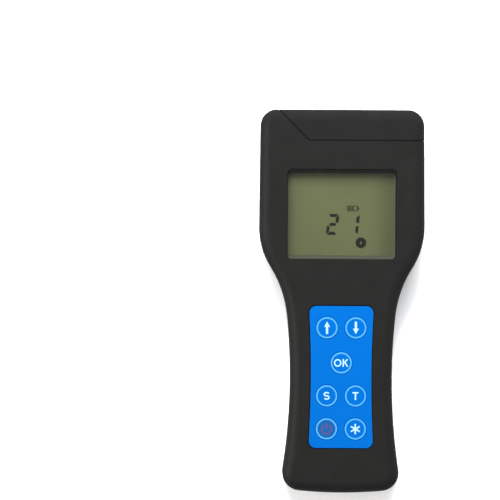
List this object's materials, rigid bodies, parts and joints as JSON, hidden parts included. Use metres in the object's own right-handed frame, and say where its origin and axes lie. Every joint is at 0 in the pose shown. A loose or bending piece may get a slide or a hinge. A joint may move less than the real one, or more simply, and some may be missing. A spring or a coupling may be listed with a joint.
{
  "type": "grain moisture meter",
  "caption": "Handheld pin-type grain moisture meter with a wide display head, waisted membrane-key grip, push-on probe cap and sliding battery door.",
  "frame": {"origin": "centre of the footprint, on the flat back the meter lies on", "axes": "+Y towards the probe end, +Z out of the face, +X to the right seen from the front with the probe end up"},
  "size_m": [0.091, 0.2106, 0.033],
  "materials": {
    "shell": "satin, fine moulded texture",
    "overlay": "blue printed polyester film",
    "film": "translucent film",
    "lens": "clear acrylic window",
    "lcd": "olive reflective display",
    "rubber": "matt",
    "white_plastic": "moulded",
    "backlight": "diffusing plate",
    "board": "green solder mask",
    "chip": "moulded epoxy",
    "bright_metal": "tinned",
    "steel": "zinc plated",
    "brass": "bare",
    "insulator": "machined",
    "nose": "moulded",
    "battery_jacket": "plain printed jacket",
    "foam": "closed-cell foam",
    "red_wire": "insulated wire",
    "black_wire": "insulated wire"
  },
  "bodies": {
    "case": {"front_shell": "shell", "rear_shell": "shell", "case_screw_1": "steel", "case_screw_2": "steel", "case_screw_3": "steel", "case_screw_4": "steel", "probe_nose": "nose", "pin_insulator_1": "insulator", "pin_insulator_2": "insulator", "probe_pin_1": "steel", "probe_pin_2": "steel", "pin_nut_1": "brass", "pin_nut_2": "brass", "probe_lead_1": "red_wire", "probe_lead_2": "black_wire", "display_window": "lens", "display_gasket": "rubber", "lcd_panel": "lcd", "lcd_frame": "white_plastic", "backlight_panel": "backlight", "zebra_strip_upper": "rubber", "zebra_strip_lower": "rubber", "keypad_overlay": "overlay", "keypad_spacer": "film", "keypad_circuit": "film", "keypad_tail": "film", "dome_up": "steel", "dome_down": "steel", "dome_ok": "steel", "dome_s": "steel", "dome_t": "steel", "dome_power": "steel", "dome_star": "steel", "main_board": "board", "zif_connector": "white_plastic", "battery_socket": "white_plastic", "microcontroller": "chip", "amplifier_chip": "chip", "buzzer": "chip", "crystal": "bright_metal", "shield_can": "bright_metal", "capacitor": "bright_metal", "board_screw_1": "steel", "board_screw_2": "steel", "board_screw_3": "steel", "board_screw_4": "steel", "battery": "battery_jacket", "battery_snap": "black_wire", "battery_lead_black": "black_wire", "battery_lead_red": "red_wire", "battery_pad": "foam"},
    "probe_cap": {"probe_cap": "shell"},
    "battery_door": {"battery_door": "shell"},
    "key_up": {"key_up": "overlay"},
    "key_down": {"key_down": "overlay"},
    "key_ok": {"key_ok": "overlay"},
    "key_s": {"key_s": "overlay"},
    "key_t": {"key_t": "overlay"},
    "key_power": {"key_power": "overlay"},
    "key_star": {"key_star": "overlay"}
  },
  "joints": [
    {"name": "probe_cap_slide", "type": "slide", "parent": "case", "child": "probe_cap", "axis": [0, 1, 0], "range_m": [0, 0.03]},
    {"name": "battery_door_slide", "type": "slide", "parent": "case", "child": "battery_door", "axis": [0, -1, 0], "range_m": [0, 0.075]},
    {"name": "key_up_press", "type": "slide", "parent": "case", "child": "key_up", "axis": [0, 0, -1], "range_m": [0, 0.0005], "stiffness_N_per_m": 2000, "deforming": ["dome_up"]},
    {"name": "key_down_press", "type": "slide", "parent": "case", "child": "key_down", "axis": [0, 0, -1], "range_m": [0, 0.0005], "stiffness_N_per_m": 2000, "deforming": ["dome_down"]},
    {"name": "key_ok_press", "type": "slide", "parent": "case", "child": "key_ok", "axis": [0, 0, -1], "range_m": [0, 0.0005], "stiffness_N_per_m": 2000, "deforming": ["dome_ok"]},
    {"name": "key_s_press", "type": "slide", "parent": "case", "child": "key_s", "axis": [0, 0, -1], "range_m": [0, 0.0005], "stiffness_N_per_m": 2000, "deforming": ["dome_s"]},
    {"name": "key_t_press", "type": "slide", "parent": "case", "child": "key_t", "axis": [0, 0, -1], "range_m": [0, 0.0005], "stiffness_N_per_m": 2000, "deforming": ["dome_t"]},
    {"name": "key_power_press", "type": "slide", "parent": "case", "child": "key_power", "axis": [0, 0, -1], "range_m": [0, 0.0005], "stiffness_N_per_m": 2000, "deforming": ["dome_power"]},
    {"name": "key_star_press", "type": "slide", "parent": "case", "child": "key_star", "axis": [0, 0, -1], "range_m": [0, 0.0005], "stiffness_N_per_m": 2000, "deforming": ["dome_star"]}
  ]
}
